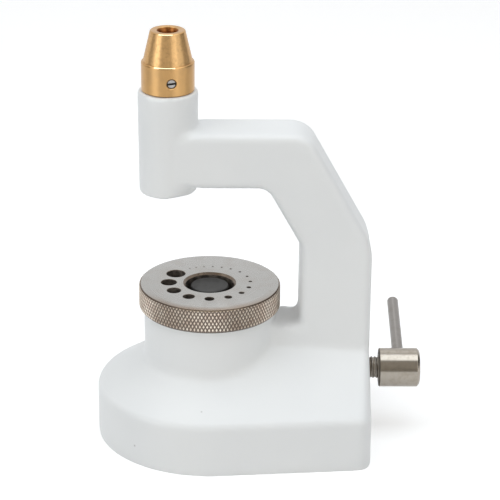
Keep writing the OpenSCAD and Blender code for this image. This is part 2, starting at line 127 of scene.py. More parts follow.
class Bench:
    """The hand tools of the workshop. Each one works on a single mesh, in millimetres."""

    @staticmethod
    def clear() -> None:
        """Leaves edit mode and deselects every object."""
        active = bpy.context.view_layer.objects.active
        if active is not None and active.mode != "OBJECT":
            bpy.ops.object.mode_set(mode="OBJECT")
        bpy.ops.object.select_all(action="DESELECT")

    @staticmethod
    def only(piece: Piece) -> None:
        """Selects one piece and makes it the active one.

        Args:
            piece: The object to work on.
        """
        Bench.clear()
        piece.select_set(True)
        bpy.context.view_layer.objects.active = piece

    @staticmethod
    @contextmanager
    def editing(piece: Piece, pick: Pick = Pick.VERTS) -> Iterator[None]:
        """Holds a piece in edit mode while its block runs, and starts with all of it selected.

        Args:
            piece: The object to edit.
            pick: The kind of element that selections take.
        """
        Bench.only(piece)
        bpy.ops.object.mode_set(mode="EDIT")
        bpy.ops.mesh.select_mode(type=pick.value)
        bpy.ops.mesh.select_all(action="SELECT")
        try:
            yield
        finally:
            bpy.ops.object.mode_set(mode="OBJECT")

    @staticmethod
    def select(piece: Piece, pick: Pick, test: Callable[..., bool]) -> None:
        """Selects the verts, edges or faces of the piece in edit mode that pass a test.

        Args:
            piece: The object in edit mode.
            pick: What is tested and selected.
            test: Takes a bmesh element and says whether it is wanted.
        """
        bpy.ops.mesh.select_all(action="DESELECT")
        bpy.ops.mesh.select_mode(type=pick.value)
        shape = bmesh.from_edit_mesh(piece.data)
        for element in {Pick.VERTS: shape.verts, Pick.EDGES: shape.edges, Pick.FACES: shape.faces}[pick]:
            if test(element):
                element.select_set(True)
        shape.select_flush_mode()
        bmesh.update_edit_mesh(piece.data)

    @staticmethod
    def lengthways(edge: bmesh.types.BMEdge) -> bool:
        """Whether an edge keeps the same Y from end to end."""
        return abs(edge.verts[0].co.y - edge.verts[1].co.y) < LEVEL_EDGE

    @staticmethod
    def round_edges(piece: Piece, test: Callable[[bmesh.types.BMEdge], bool], size: float, steps: int) -> None:
        """Rounds the edges of the piece in edit mode that pass a test."""
        Bench.select(piece, Pick.EDGES, test)
        bpy.ops.mesh.bevel(offset=size, segments=steps, affect="EDGES")

    @staticmethod
    def close() -> None:
        """Merges doubles and turns all faces of the mesh in edit mode outwards."""
        bpy.ops.mesh.select_all(action="SELECT")
        bpy.ops.mesh.remove_doubles(threshold=0.0005)
        bpy.ops.mesh.dissolve_degenerate(threshold=0.0001)
        bpy.ops.mesh.normals_make_consistent(inside=False)

    @staticmethod
    def named(name: str) -> Piece:
        """Names the primitive that was just added and applies its place.

        Args:
            name: The new object's name.

        Returns:
            The object, with its place in its mesh.
        """
        piece = bpy.context.object
        piece.name = piece.data.name = name
        bpy.ops.object.transform_apply(location=True, rotation=True, scale=True)
        return piece

    @staticmethod
    def line(name: str, places: Sequence[Place]) -> Piece:
        """Draws a line by extruding a single vertex from place to place.

        Args:
            name: The new object's name.
            places: The line's points, in order.

        Returns:
            The line.
        """
        Bench.clear()
        bpy.ops.mesh.primitive_plane_add(size=1.0, location=places[0])
        line = Bench.named(name)
        with Bench.editing(line):
            bpy.ops.mesh.merge(type="CENTER")
            bpy.ops.mesh.select_all(action="SELECT")
            for here, there in zip(places, places[1:]):
                step = Vector(there) - Vector(here)
                bpy.ops.mesh.extrude_region_move(TRANSFORM_OT_translate={"value": tuple(step)})
        return line

    @staticmethod
    def lathe(name: str, profile: Sequence[Point], steps: int = TURN_STEPS, at: Point = (0.0, 0.0)) -> Piece:
        """Turns a profile about an upright axis. A profile that doesn't end where it starts meets the axis.

        Args:
            name: The new object's name.
            profile: Radius and height of each point, from one end of the profile to the other.
            steps: Number of steps round the axis.
            at: X and Y of the axis.

        Returns:
            The turned solid.
        """
        if profile[0] != profile[-1]:
            profile = [(0.0, profile[0][1]), *profile, (0.0, profile[-1][1])]
        turned = Bench.line(name, [(at[0] + radius, at[1], height) for radius, height in profile])
        with Bench.editing(turned):
            bpy.ops.mesh.spin(steps=steps, angle=math.tau, center=(*at, 0.0), axis=UP, use_auto_merge=True)
            Bench.close()
        return turned

    @staticmethod
    def slab(name: str, outline: Sequence[Point | Vector], width: float) -> Piece:
        """Draws a closed outline in X and Z and extrudes it across, half of it to each side.

        Args:
            name: The new object's name.
            outline: The outline's corners, in order.
            width: The slab's width along Y.

        Returns:
            The slab.
        """
        slab = Bench.line(name, [(x, -width / 2, z) for x, z in outline])
        with Bench.editing(slab):
            bpy.ops.mesh.edge_face_add()
            bpy.ops.mesh.extrude_region_move(TRANSFORM_OT_translate={"value": (0.0, width, 0.0)})
            Bench.close()
        return slab

    @staticmethod
    def modify(piece: Piece, kind: str, **settings: object) -> None:
        """Adds a modifier to a piece and applies it.

        Args:
            piece: The piece.
            kind: The modifier's type.
            settings: Its settings by name.
        """
        modifier = piece.modifiers.new(kind.lower(), kind)
        for name, value in settings.items():
            setattr(modifier, name, value)
        Bench.only(piece)
        bpy.ops.object.modifier_apply(modifier=modifier.name)

    @staticmethod
    def join(piece: Piece, tool: Piece, how: Join) -> None:
        """Cuts or intersects a piece with a tool, and removes the tool."""
        Bench.modify(piece, "BOOLEAN", operation=how.value, solver="EXACT", object=tool)
        bpy.data.objects.remove(tool, do_unlink=True)

    @staticmethod
    def bore(
        piece: Piece, profile: Sequence[Point], steps: int = BORE_STEPS, at: Point = (0.0, 0.0),
        lay: Callable[[Piece], None] | None = None,
    ) -> None:
        """Cuts a turned hollow into a piece.

        Args:
            piece: The piece.
            profile: Radius and height of the hollow's points.
            steps: Number of steps round its axis.
            at: X and Y of its axis.
            lay: Lays the hollow along another axis.
        """
        cutter = Bench.lathe("cutter", profile, steps, at)
        if lay:
            lay(cutter)
        Bench.join(piece, cutter, Join.CUT)

    @staticmethod
    def gather(pieces: Sequence[Piece], name: str) -> Piece:
        """Joins several objects into one, without changing their shapes.

        Args:
            pieces: The objects; the first one takes in the others.
            name: The name of the result.

        Returns:
            The gathered object.
        """
        Bench.only(pieces[0])
        for piece in pieces[1:]:
            piece.select_set(True)
        bpy.ops.object.join()
        pieces[0].name = name
        return pieces[0]

    @staticmethod
    def lay(piece: Piece, turns: Sequence[tuple[float, Axis]], by: Place = ORIGIN) -> None:
        """Turns a piece's mesh about the origin and then moves it.

        Args:
            piece: The piece.
            turns: Each turn's angle in degrees, by the right-hand rule, and its axis.
            by: The way that the piece goes.
        """
        with Bench.editing(piece):
            for degrees, axis in turns:
                bpy.ops.transform.rotate(
                    value=-math.radians(degrees), orient_axis=axis.value, center_override=ORIGIN
                )
            bpy.ops.transform.translate(value=by)

    @staticmethod
    def coat(
        piece: Piece, materials: Sequence[bpy.types.Material], choose: Callable[[Vector, Vector], int] | None = None
    ) -> None:
        """Gives a piece its finishes.

        Args:
            piece: The piece.
            materials: Its finishes, in order.
            choose: Takes a face's centre and its direction and gives the number of its finish.
        """
        piece.data.materials.clear()
        for material in materials:
            piece.data.materials.append(material)
        if choose is None:
            return
        with Bench.editing(piece, Pick.FACES):
            for index in range(len(materials)):
                Bench.select(piece, Pick.FACES, lambda f: choose(f.calc_center_median(), f.normal) == index)
                piece.active_material_index = index
                bpy.ops.object.material_slot_assign()


def arc(centre: Point, radius: float, start: float, end: float, count: int = 8) -> list[Point]:
    """Points of an arc.

    Args:
        centre: The arc's centre.
        radius: Its radius.
        start: The angle of the first point, in degrees.
        end: The angle of the last point.
        count: The number of steps.

    Returns:
        The points, first to last.
    """
    angles = [math.radians(start + (end - start) * i / count) for i in range(count + 1)]
    return [(centre[0] + radius * math.cos(a), centre[1] + radius * math.sin(a)) for a in angles]


@dataclass(frozen=True)
class Signal:
    """A value in a node tree. Python's operators on it add Math nodes."""

    tree: bpy.types.NodeTree
    socket: bpy.types.NodeSocket

    def maths(self, operation: str, *values: Signal | float) -> Signal:
        """Adds a Math node.

        Args:
            operation: The Math node's operation.
            values: Its inputs, in order.

        Returns:
            The result.
        """
        node = self.tree.nodes.new("ShaderNodeMath")
        node.operation = operation
        for socket, value in zip(node.inputs, values):
            if isinstance(value, Signal):
                self.tree.links.new(value.socket, socket)
            else:
                socket.default_value = value
        return Signal(self.tree, node.outputs[0])

    def __add__(self, other: Signal | float) -> Signal:
        """Sum."""
        return self.maths("ADD", self, other)

    __radd__ = __add__

    def __mul__(self, other: Signal | float) -> Signal:
        """Product."""
        return self.maths("MULTIPLY", self, other)

    def __sub__(self, other: Signal | float) -> Signal:
        """Difference."""
        return self.maths("SUBTRACT", self, other)

    def __rsub__(self, other: float) -> Signal:
        """Difference from a number."""
        return self.maths("SUBTRACT", other, self)

    def __pow__(self, other: Signal | float) -> Signal:
        """Power."""
        return self.maths("POWER", self, other)

    def __gt__(self, other: Signal | float) -> Signal:
        """One where this value is greater, otherwise zero."""
        return self.maths("GREATER_THAN", self, other)

    def or_more(self, other: Signal | float) -> Signal:
        """The greater of two values."""
        return self.maths("MAXIMUM", self, other)

    def ramp(self, low: float, high: float) -> Signal:
        """Rises softly from 0 to 1.

        Args:
            low: The value that gives 0.
            high: The value that gives 1.

        Returns:
            The risen value.
        """
        node = self.tree.nodes.new("ShaderNodeMapRange")
        node.interpolation_type = "SMOOTHSTEP"
        self.tree.links.new(self.socket, node.inputs["Value"])
        node.inputs["From Min"].default_value = low
        node.inputs["From Max"].default_value = high
        return Signal(self.tree, node.outputs["Result"])


class Mixer:
    """One material's node tree, with a Principled shader at its end."""

    def __init__(self, name: str) -> None:
        """Starts a material.

        Args:
            name: Its name.
        """
        self.material = bpy.data.materials.new(name)
        self.material.use_nodes = True
        self.tree = self.material.node_tree
        self.tree.nodes.clear()
        self.output = self.tree.nodes.new("ShaderNodeOutputMaterial")
        self.shader = self.tree.nodes.new("ShaderNodeBsdfPrincipled")
        self.tree.links.new(self.shader.outputs["BSDF"], self.output.inputs["Surface"])

    def node(self, kind: str, inputs: dict[str | int, object] | None = None, **settings: object) -> bpy.types.Node:
        """Adds a node.

        Args:
            kind: The node's type.
            inputs: Values or signals for its sockets.
            settings: Its own settings, set before its sockets.

        Returns:
            The node.
        """
        node = self.tree.nodes.new(kind)
        for key, value in settings.items():
            setattr(node, key, value)
        for key, value in (inputs or {}).items():
            self.feed(node.inputs[key], value)
        return node

    def feed(self, socket: bpy.types.NodeSocket, value: object) -> None:
        """Gives a socket a value or links a signal to it.

        Args:
            socket: The socket.
            value: A number, a colour or a signal.
        """
        if isinstance(value, Signal):
            self.tree.links.new(value.socket, socket)
        else:
            socket.default_value = value

    def out(self, node: bpy.types.Node, name: str | int = 0) -> Signal:
        """One output of a node as a signal."""
        return Signal(self.tree, node.outputs[name])

    def place(self) -> Signal:
        """The place on the object, in metres."""
        return self.out(self.node("ShaderNodeTexCoord"), "Object")

    def axes(self, origin: Place = ORIGIN) -> tuple[Signal, Signal, Signal]:
        """X, Y and Z on the object, in millimetres from a point.

        Args:
            origin: The point, in millimetres.

        Returns:
            The three values.
        """
        split = self.node("ShaderNodeSeparateXYZ", {0: self.place()})
        parts = [self.out(split, name) for name in ("X", "Y", "Z")]
        return tuple(part * (1.0 / MM) - start for part, start in zip(parts, origin))

    def vector(self, x: Signal | float, y: Signal | float, z: Signal | float) -> Signal:
        """Three values as a vector."""
        return self.out(self.node("ShaderNodeCombineXYZ", {"X": x, "Y": y, "Z": z}))

    def noise(self, where: Signal, scale: float, detail: float = 2.0, roughness: float = 0.5) -> Signal:
        """Noise about 0.5 at each place, with bumps to a unit of length, octaves and weight of the finer ones."""
        settings = {"Vector": where, "Scale": scale, "Detail": detail, "Roughness": roughness}
        return self.out(self.node("ShaderNodeTexNoise", settings))

    def blend(self, factor: Signal | float, low: Signal | Place, high: Signal | Place) -> Signal:
        """A colour between two colours.

        Args:
            factor: 0 gives the first colour and 1 the second.
            low: The first colour.
            high: The second colour.

        Returns:
            The colour.
        """
        tones = [tone if isinstance(tone, Signal) else (*tone, 1.0) for tone in (low, high)]
        inputs = {"Factor": factor, 6: tones[0], 7: tones[1]}
        return self.out(self.node("ShaderNodeMix", inputs, data_type="RGBA", clamp_factor=True), 2)

    def bump(self, height: Signal, depth: float, strength: float = 1.0) -> None:
        """Raises the surface by a height of 0 to 1, which stands for a depth in millimetres."""
        node = self.node("ShaderNodeBump", {"Strength": strength, "Distance": depth * MM, "Height": height})
        self.feed(self.shader.inputs["Normal"], self.out(node, "Normal"))

    def finish(self, **values: object) -> bpy.types.Material:
        """Feeds the shader and gives the material.

        Args:
            values: Socket names, with underscores for spaces, and their values or signals.

        Returns:
            The material.
        """
        for name, value in values.items():
            self.feed(self.shader.inputs[name.replace("_", " ")], value)
        return self.material


@dataclass(frozen=True)
class PowderCoat:
    """White powder coat on a casting: faint orange peel, a few pin holes and a slight cool tint.

    Its scales are those of its peel, its waves, its tint and its pin holes.
    """

    name: str = "powder_coat"
    colour: Place = (0.82, 0.83, 0.83)
    shade: Place = (0.80, 0.812, 0.816)
    pit: Place = (0.34, 0.33, 0.32)
    pit_size: Point = (0.016, 0.042)
    pit_share: float = 0.5
    scales: tuple[float, float, float, float] = (620.0, 160.0, 28.0, 78.0)
    depth: float = 0.035
    roughness: float = 0.42

    def material(self) -> bpy.types.Material:
        """Mixes the paint."""
        mix = Mixer(self.name)
        where = mix.place()
        fine, wide, broad, sparse = self.scales
        peel = mix.noise(where, fine, 3.0, 0.55)
        waves, patches = mix.noise(where, wide), mix.noise(where, broad)
        cells = mix.node("ShaderNodeTexVoronoi", {"Vector": where, "Scale": sparse}, feature="F1")
        chance = mix.out(mix.node("ShaderNodeSeparateColor", {0: mix.out(cells, "Color")}), "Red")
        pits = (1.0 - mix.out(cells, "Distance").ramp(*self.pit_size)) * (chance > self.pit_share)
        clean = mix.blend(patches.ramp(0.35, 0.7), self.colour, self.shade)
        mix.bump(peel * 0.55 + waves * 0.45 - pits * 1.6, self.depth, 0.8)
        return mix.finish(
            Base_Color=mix.blend(pits * 0.55, clean, self.pit),
            Roughness=self.roughness + peel * 0.08 - 0.04,
            Specular_IOR_Level=0.42,
        )


@dataclass(frozen=True)
class TurnedMetal:
    """Metal turned on a lathe: rings about its axis, stains and brighter rubbed places."""

    name: str
    colour: Place
    stain: Place
    roughness: float = 0.3
    axis: Axis = Axis.Z
    centre: Place = ORIGIN
    ring_depth: float = 0.006
    ring_pitch: float = 0.22
    stain_share: float = 0.35
    stain_scale: float = 210.0
    brushed: float = 0.0
    shaded_rim_from: float = 0.0
    shaded_rim_width: float = 3.6
    shaded_rim_front: Point = (6.0, 26.0)

    def material(self) -> bpy.types.Material:
        """Mixes the metal. Where a rim radius is set, painted shade darkens its front rim towards the stain's brown
        from that radius outwards.
        """
        mix = Mixer(self.name)
        x, y, z = mix.axes(self.centre)
        along, one, two = {Axis.Z: (z, x, y), Axis.X: (x, y, z), Axis.Y: (y, x, z)}[self.axis]
        radius = (one * one + two * two) ** 0.5
        track = mix.vector(0.0, 0.0, along + radius * 1.37)
        rings = mix.noise(track, 1.0 / self.ring_pitch, 3.0, 0.6)
        bands = mix.noise(track, 0.55, 1.0)
        grain = mix.noise(mix.vector(one * 0.2, two * 0.2, along * 3.0), 3.0)
        stains = mix.noise(mix.place(), self.stain_scale, 3.0, 0.6).ramp(0.42, 0.72) * self.stain_share
        stains_and_shade = stains
        # painted shade: the front of the rim is darkened in colour only, not in roughness
        if self.shaded_rim_from:
            front = (bands * 6.0 - two).ramp(*self.shaded_rim_front)
            stains_and_shade = stains + radius.ramp(self.shaded_rim_from, self.shaded_rim_from + self.shaded_rim_width) * front * 0.8
        mix.bump(rings * 0.8 + grain * 0.2, self.ring_depth)
        return mix.finish(
            Base_Color=mix.blend(stains_and_shade + bands * 0.18 - 0.06, self.colour, self.stain),
            Metallic=1.0,
            Roughness=self.roughness + rings * 0.10 - 0.05 + stains * 0.16,
            Anisotropic=self.brushed,
            Anisotropic_Rotation=0.25,
        )


@dataclass(frozen=True)
class KnurledSteel:
    """Browned steel knurl: its grooves darkened by painted shade and oil, its crests lightened by a painted
    highlight and wear.
    """

    name: str = "knurled_steel"
    crest: Place = (0.87, 0.78, 0.67)
    brown: Place = (0.64, 0.52, 0.43)
    groove: Place = (0.15, 0.12, 0.10)
    crest_radius: float = 24.95
    depth: float = 0.4
    roughness: float = 0.3

    def material(self) -> bpy.types.Material:
        """Mixes the steel."""
        mix = Mixer(self.name)
        x, y, _ = mix.axes()
        height = ((x * x + y * y) ** 0.5).ramp(self.crest_radius - self.depth, self.crest_radius)
        patches = mix.noise(mix.place(), 260.0, 3.0, 0.6)
        mix.bump(mix.noise(mix.place(), 2600.0), 0.012, 0.7)
        return mix.finish(
            # painted shade in the grooves and painted highlight on the crests, set by radius
            Base_Color=mix.blend(height, self.groove, mix.blend(patches.ramp(0.3, 0.7), self.brown, self.crest)),
            Metallic=0.92,
            Roughness=self.roughness + patches * 0.2 - 0.1 + (1.0 - height) * 0.2,
        )


@dataclass(frozen=True)
class BrownedEdge:
    """Browned steel edge, with a painted highlight in a golden tone at its front."""

    name: str = "browned_edge"
    brown: Place = (0.17, 0.125, 0.09)
    painted_highlight: Place = (0.74, 0.59, 0.42)
    front: Point = (19.0, 25.5)
    roughness: float = 0.26

    def material(self) -> bpy.types.Material:
        """Mixes the steel."""
        mix = Mixer(self.name)
        _, y, _ = mix.axes()
        patches = mix.noise(mix.place(), 240.0, 3.0, 0.6)
        # painted highlight: the edge's front is lightened to a golden tone
        lighter = (patches * 5.0 - 2.5 - y).ramp(*self.front)
        mix.bump(patches, 0.01, 0.6)
        return mix.finish(
            Base_Color=mix.blend(lighter * 0.85 + patches * 0.25 - 0.1, self.brown, self.painted_highlight),
            Metallic=0.3,
            Roughness=self.roughness + patches * 0.16 - 0.08,
        )


@dataclass(frozen=True)
class ShadedBore:
    """Metal deep in a hole, darkened as painted shade."""

    name: str = "bore_painted_shade"
    colour: Place = (0.15, 0.132, 0.117)
    lighter: Place = (0.44, 0.385, 0.34)
    roughness: float = 0.45

    def material(self) -> bpy.types.Material:
        """Mixes the metal."""
        mix = Mixer(self.name)
        film = mix.noise(mix.place(), 420.0, 3.0, 0.6)
        mix.bump(film, 0.02, 0.6)
        return mix.finish(
            # painted shade: the hole's metal is dark, with lighter random patches
            Base_Color=mix.blend(film.ramp(0.35, 0.75), self.colour, self.lighter),
            Metallic=0.85,
            Roughness=self.roughness + film * 0.2 - 0.1,
        )


class Workshop:
    """Dresses finished pieces and hands them to the frame."""

    def __init__(self, nodes: dict[str, Piece]) -> None:
        """Keeps the frame's nodes by name."""
        self.nodes = nodes

    def hand_over(
        self, piece: Piece, body: Body, stands_for: Sequence[str], crisp: float = 30.0
    ) -> None:
        """Finishes a piece: shades it, brings it to metres and lets it ride.

        Args:
            piece: The modelled piece, with its materials.
            body: The body that it moves with.
            stands_for: The CAD nodes that it replaces.
            crisp: The angle from which its edges stay crisp, in degrees.
        """
        Bench.only(piece)
        bpy.ops.object.shade_smooth_by_angle(angle=math.radians(crisp))
        piece.scale = (MM, MM, MM)
        bpy.ops.object.transform_apply(location=True, rotation=True, scale=True)
        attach(piece, body.value)
        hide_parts(*stands_for)
        log.info("%s: %d faces, for %s, rides on %s", piece.name, len(piece.data.polygons), stands_for, body.value)

    def dress(self, node: str, material: bpy.types.Material) -> None:
        """Gives a CAD node that isn't modelled again a better material.

        Args:
            node: The node's name.
            material: The material for all its slots.
        """
        piece = self.nodes[node]
        if not piece.material_slots:
            piece.data.materials.append(material)
        for place in piece.material_slots:
            place.material = material
        log.info("%s: kept, finish %s", node, material.name)


@dataclass
class Casting:
    """The cast frame: base, drum, rib, column, leaning neck, arm and head.

    The bends are the neck's upper and lower outer ones and then its inner ones. The drum's edge has how far its
    chamfer begins inside the rim, how far its cutter goes past the rim, and how far down.
    """

    base_radius: float = 39.8
    rear: float = 56.5
    taper: float = 5.2
    rim: float = 18.6
    slope: float = 32.8
    rim_round: float = 3.2
    corner_round: float = 5.5
    gable_round: float = 2.0
    corner_steps: int = 64
    rim_steps: int = 36
    ball_steps: tuple[int, int] = (32, 16)
    root: float = 10.0
    drum_radius: float = 23.1
    drum_top: float = 47.2
    drum_edge: tuple[float, float, float] = (0.35, 0.5, 0.85)
    facing_radius: float = 27.0
    facing_height: float = 6.0
    rib_top: float = 43.3
    rib_end: float = 6.0
    rib_inset: float = 0.1
    rib_round: float = 1.4
    rib_fillet: float = 3.2
    edge_steps: int = 5
    bend_steps: int = 9
    head_steps: int = 96
    column_front: float = 31.5
    column_rear: float = 56.55
    overlap: float = 2.0
    width: float = 19.8
    edge_round: float = 2.8
    knee: float = 73.5
    lean: float = 29.3
    lean_thickness: float = 21.8
    bends: tuple[float, float, float, float] = (9.0, 20.0, 5.5, 4.5)
    arm_low: float = 94.4
    arm_high: float = 114.3
    head_at: float = -14.4
    head_radius: float = 10.35
    head_draft: float = 0.35
    head_round: float = 0.8
    head_low: float = 90.9
    head_high: float = 127.4
    voxel: float = 0.62
    inside_corner: float = -0.24
    spreads: tuple[int, int] = (3, 4)
    softenings: int = 14
    below: float = 1.5
    past: float = 1.0
    bore_chamfer: float = 0.4
    spindle_bore: float = 4.99
    spindle_floor: float = 13.2
    spindle_mouth: float = 6.4
    knock_bore: float = 3.75
    bush_bore: float = 7.02
    bush_mouth: float = 7.4
    bush_chamfer: float = 0.2
    clamp_height: float = 23.2
    plunger_bore: float = 3.04
    plunger_end: float = 32.55
    screw_bore: float = 4.0
    screw_chamfer: float = 0.7
    parts: list[Piece] = field(default_factory=list)

    def base(self) -> None:
        """Wraps the base's rounded rims, corners and ridge in one tight hull."""
        taper, slope = math.radians(self.taper), math.radians(self.slope)
        sin_t, cos_t, sin_s, cos_s = math.sin(taper), math.cos(taper), math.sin(slope), math.cos(slope)
        r, small, half = self.rim_round, self.gable_round, self.width / 2
        rim_z = self.rim - r * math.tan(math.radians(45 - self.slope / 2))
        ridge = self.rim + (self.base_radius - half) * sin_s / cos_s
        corner_x = self.rear - self.corner_round
        corner_y = (self.base_radius - self.corner_round - sin_t * corner_x) / cos_t
        roof = self.base_radius * sin_s + self.rim * cos_s
        gable_x = self.rear - small
        gable_y = (roof - small - cos_s * (ridge - small) - sin_t * sin_s * gable_x) / (cos_t * sin_s)
        height = rim_z + self.below
        middle = rim_z - height / 2
        around, across = self.ball_steps
        Bench.clear()
        bpy.ops.mesh.primitive_cylinder_add(
            vertices=WIDE_STEPS, radius=self.base_radius, depth=height, location=(0.0, 0.0, middle)
        )
        base = Bench.named("base")
        with Bench.editing(base):
            rims = [(self.base_radius, 0.0, 0.0, WIDE_STEPS)]
            rims += [(self.corner_round, corner_x, side * corner_y, self.corner_steps) for side in SIDES]
            for radius, x, y, steps in rims:
                bpy.ops.mesh.primitive_torus_add(
                    major_radius=radius - r, minor_radius=r, major_segments=steps, minor_segments=self.rim_steps,
                    location=(x, y, rim_z),
                )
            for side in SIDES:
                bpy.ops.mesh.primitive_cylinder_add(
                    vertices=self.corner_steps, radius=self.corner_round, depth=height,
                    location=(corner_x, side * corner_y, middle),
                )
                bpy.ops.mesh.primitive_uv_sphere_add(
                    segments=around, ring_count=across, radius=small,
                    location=(gable_x, side * gable_y, ridge - small),
                )
            bpy.ops.mesh.primitive_circle_add(vertices=self.corner_steps, radius=half, location=(0.0, 0.0, ridge))
            bpy.ops.mesh.select_all(action="SELECT")
            bpy.ops.mesh.convex_hull()
            Bench.close()
        self.parts.append(base)

    def drum(self) -> None:
        """Turns the drum a little too high, to be faced off later."""
        r = self.drum_radius
        self.parts.append(Bench.lathe("drum", [(r, self.root), (r, self.drum_top + self.below)], WIDE_STEPS))

    def rib(self) -> None:
        """Models the rib between the drum and the column, with rounded upper edges."""
        low, high, front = self.root, self.rib_top, self.column_front
        length = front + self.rib_end
        Bench.clear()
        bpy.ops.mesh.primitive_cube_add(size=1.0, location=(length / 2, 0.0, (low + high) / 2),
                                        scale=(length, self.width - self.rib_inset, high - low))
        rib = Bench.named("rib")
        with Bench.editing(rib, Pick.EDGES):
            Bench.round_edges(
                rib, lambda e: all(v.co.z > high - LEVEL_EDGE for v in e.verts) and Bench.lengthways(e),
                self.rib_round, self.edge_steps,
            )
        self.parts.append(rib)
        r, buried = self.rib_fillet, front + self.overlap
        outline = [*arc((front - r, high + r), r, 0, -90), (front - r, high - self.overlap),
                   (buried, high - self.overlap), (buried, high + r)]
        self.parts.append(Bench.slab("web", outline, self.width - 2 * self.edge_round))

    def neck(self) -> None:
        """Draws the outline of column, neck and arm, extrudes it and rounds bends and edges."""
        lean = math.radians(self.lean)
        normal = Vector((math.cos(lean), math.sin(lean)))
        in_low = Vector((self.column_front, self.knee))
        in_top = Vector((self.column_front - (self.arm_low - self.knee) * math.tan(lean), self.arm_low))
        reach = in_low.dot(normal) + self.lean_thickness
        out_low = Vector((self.column_rear, (reach - normal.x * self.column_rear) / normal.y))
        out_top = Vector(((reach - normal.y * self.arm_high) / normal.x, self.arm_high))
        outline = [
            (self.head_at, self.arm_high), out_top, out_low, (self.column_rear, self.overlap),
            (self.column_front, self.overlap), in_low, in_top, (self.head_at, self.arm_low),
        ]
        neck = Bench.slab("neck", outline, self.width)
        top_turn = math.pi / 2 - lean
        with Bench.editing(neck):
            for corner, radius, turn in zip(
                (out_top, out_low, in_top, in_low), self.bends, (top_turn, lean, top_turn, lean)
            ):
                Bench.round_edges(
                    neck, lambda e: all((v.co.xz - corner).length < LEVEL_EDGE for v in e.verts),
                    radius * math.tan(turn / 2), self.bend_steps,
                )
            Bench.round_edges(neck, Bench.lengthways, self.edge_round, self.edge_steps)
        self.parts.append(neck)

    def head(self) -> None:
        """Turns the head, with its rounded lower and upper edges."""
        r, edge = self.head_radius, self.head_round
        profile = [*arc((r - self.head_draft - edge, self.head_low + edge), edge, -90, 0),
                   *arc((r - edge, self.head_high - edge), edge, 0, 90)]
        self.parts.append(Bench.lathe("head", profile, self.head_steps, (self.head_at, 0.0)))

    def fuse(self) -> Piece:
        """Casts the parts into one body with softened inside corners.

        Returns:
            The casting, before it is machined.
        """
        casting = Bench.gather(self.parts, "white_casting")
        Bench.modify(casting, "REMESH", mode="VOXEL", voxel_size=self.voxel)
        with Bench.editing(casting, Pick.EDGES):
            for spread in self.spreads:
                Bench.select(casting, Pick.EDGES, lambda e: len(e.link_faces) == 2
                             and e.calc_face_angle_signed(0.0) < self.inside_corner)
                bpy.ops.mesh.select_mode(type="VERT")
                for _ in range(spread):
                    bpy.ops.mesh.select_more()
                bpy.ops.mesh.vertices_smooth(factor=0.5, repeat=self.softenings)
        return casting

    def machine(self, casting: Piece) -> None:
        """Faces off the underside and the drum, and bores the casting.

        Args:
            casting: The rough casting.
        """
        with Bench.editing(casting):
            bpy.ops.mesh.bisect(plane_co=ORIGIN, plane_no=UP, use_fill=True, clear_inner=True)
        past, top, rear, wide = self.past, self.drum_top, self.column_rear, self.facing_radius
        inset, out, down = self.drum_edge
        punch_axis = (self.head_at, 0.0)
        Bench.bore(casting, [(self.drum_radius - inset, top), (self.drum_radius + out, top - down),
                             (wide, top - down), (wide, top + self.facing_height)], WIDE_STEPS)
        hole, edge = self.spindle_bore, self.bore_chamfer
        Bench.bore(casting, [(hole, self.spindle_floor), (hole, top - edge), (self.spindle_mouth, top + past)])
        hole = self.knock_bore
        Bench.bore(casting, [(hole + past, -past), (hole, edge), (hole, top + past)], at=punch_axis)
        hole, low = self.bush_bore, self.head_low
        Bench.bore(casting, [(self.bush_mouth, low - past), (hole, low + self.bush_chamfer),
                             (hole, self.head_high + past)], at=punch_axis)
        hole, edge = self.screw_bore, self.screw_chamfer
        Bench.bore(casting, [(self.plunger_bore, 0.0), (self.plunger_bore, self.plunger_end),
                             (hole, self.plunger_end), (hole, rear - edge), (hole + edge + past, rear + past)],
                   lay=lambda cutter: Bench.lay(cutter, [(90.0, Axis.Y)], (0.0, 0.0, self.clamp_height)))

    def build(self, shop: Workshop) -> None:
        """Models, machines and paints the casting.

        Args:
            shop: Dresses the finished piece.
        """
        for cast in (self.base, self.drum, self.rib, self.neck, self.head):
            cast()
        casting = self.fuse()
        self.machine(casting)
        Bench.coat(casting, [PowderCoat().material()])
        shop.hand_over(casting, Body.FRAME, ["frame_casting"], 38.0)


